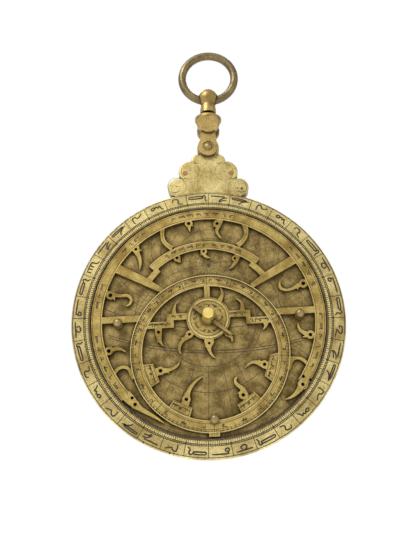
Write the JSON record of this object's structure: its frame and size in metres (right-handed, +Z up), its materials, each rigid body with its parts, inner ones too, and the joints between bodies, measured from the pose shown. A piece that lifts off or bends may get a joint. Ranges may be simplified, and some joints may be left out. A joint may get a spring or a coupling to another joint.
{
  "type": "planispheric astrolabe",
  "caption": "Brass planispheric astrolabe: pierced rete turning over stacked plates in a graduated mater, lobed throne, alidade with sight vanes, swivel shackle and suspension ring.",
  "frame": {"origin": "inside top of the suspension ring, where a finger or hook carries it", "axes": "+Z up along the hanging line, -Y towards the front with the rete, +X to the right as seen from the front"},
  "size_m": [0.16, 0.0347, 0.2626],
  "materials": {
    "ring_brass": "worn, tarnished",
    "eye_brass": "worn, tarnished",
    "washer_brass": "worn",
    "shackle_brass": "worn, tarnished",
    "rivet_brass": "domed, rubbed bright",
    "mater_brass": "satin, engraved",
    "limb_brass": "satin, engraved",
    "throne_copper": "copper, flush",
    "plate_brass": "satin, engraved",
    "top_plate_brass": "dark, engraved",
    "rete_brass": "satin, engraved",
    "knob_brass": "polished, worn",
    "pin_brass": "bright, turned",
    "wedge_brass": "filed",
    "alidade_brass": "satin",
    "vane_brass": "satin"
  },
  "bodies": {
    "ring": {"suspension_ring": "ring_brass"},
    "swivel": {"swivel_eye": "eye_brass", "swivel_washer": "washer_brass"},
    "shackle": {"shackle": "shackle_brass", "shackle_rivet": "rivet_brass"},
    "mater": {"mater_back": "mater_brass", "limb": "limb_brass", "throne_rivets": "throne_copper", "climate_plate_1": "plate_brass", "climate_plate_2": "plate_brass", "climate_plate_3": "plate_brass", "climate_plate_4": "top_plate_brass"},
    "rete": {"rete": "rete_brass", "rete_knob_left": "knob_brass", "rete_knob_right": "knob_brass", "rete_knob_bottom": "knob_brass"},
    "pole": {"pole_pin": "pin_brass"},
    "horse": {"horse_wedge": "wedge_brass"},
    "alidade": {"alidade": "alidade_brass", "sight_vane_upper": "vane_brass", "sight_vane_lower": "vane_brass"}
  },
  "joints": [
    {"name": "eye_swing", "type": "hinge", "parent": "ring", "child": "swivel", "pos_m": [0, 0, -0.03155], "axis": [1, 0, 0], "range_deg": [-80, 80]},
    {"name": "shackle_turn", "type": "hinge", "parent": "swivel", "child": "shackle", "pos_m": [0, 0, -0.0445], "axis": [0, 0, 1], "continuous": true},
    {"name": "throne_swing", "type": "hinge", "parent": "shackle", "child": "mater", "pos_m": [0, 0, -0.067], "axis": [0, 1, 0], "range_deg": [-90, 90]},
    {"name": "rete_turn", "type": "hinge", "parent": "mater", "child": "rete", "pos_m": [0, 0, -0.1775], "axis": [0, 1, 0], "continuous": true},
    {"name": "alidade_turn", "type": "hinge", "parent": "mater", "child": "alidade", "pos_m": [0, 0, -0.1775], "axis": [0, 1, 0], "continuous": true},
    {"name": "pin_turn", "type": "hinge", "parent": "mater", "child": "pole", "pos_m": [0, 0, -0.1775], "axis": [0, 1, 0], "continuous": true},
    {"name": "wedge_draw", "type": "slide", "parent": "pole", "child": "horse", "axis": [-0.7986, 0, 0.6018], "range_m": [0, 0.016]}
  ]
}
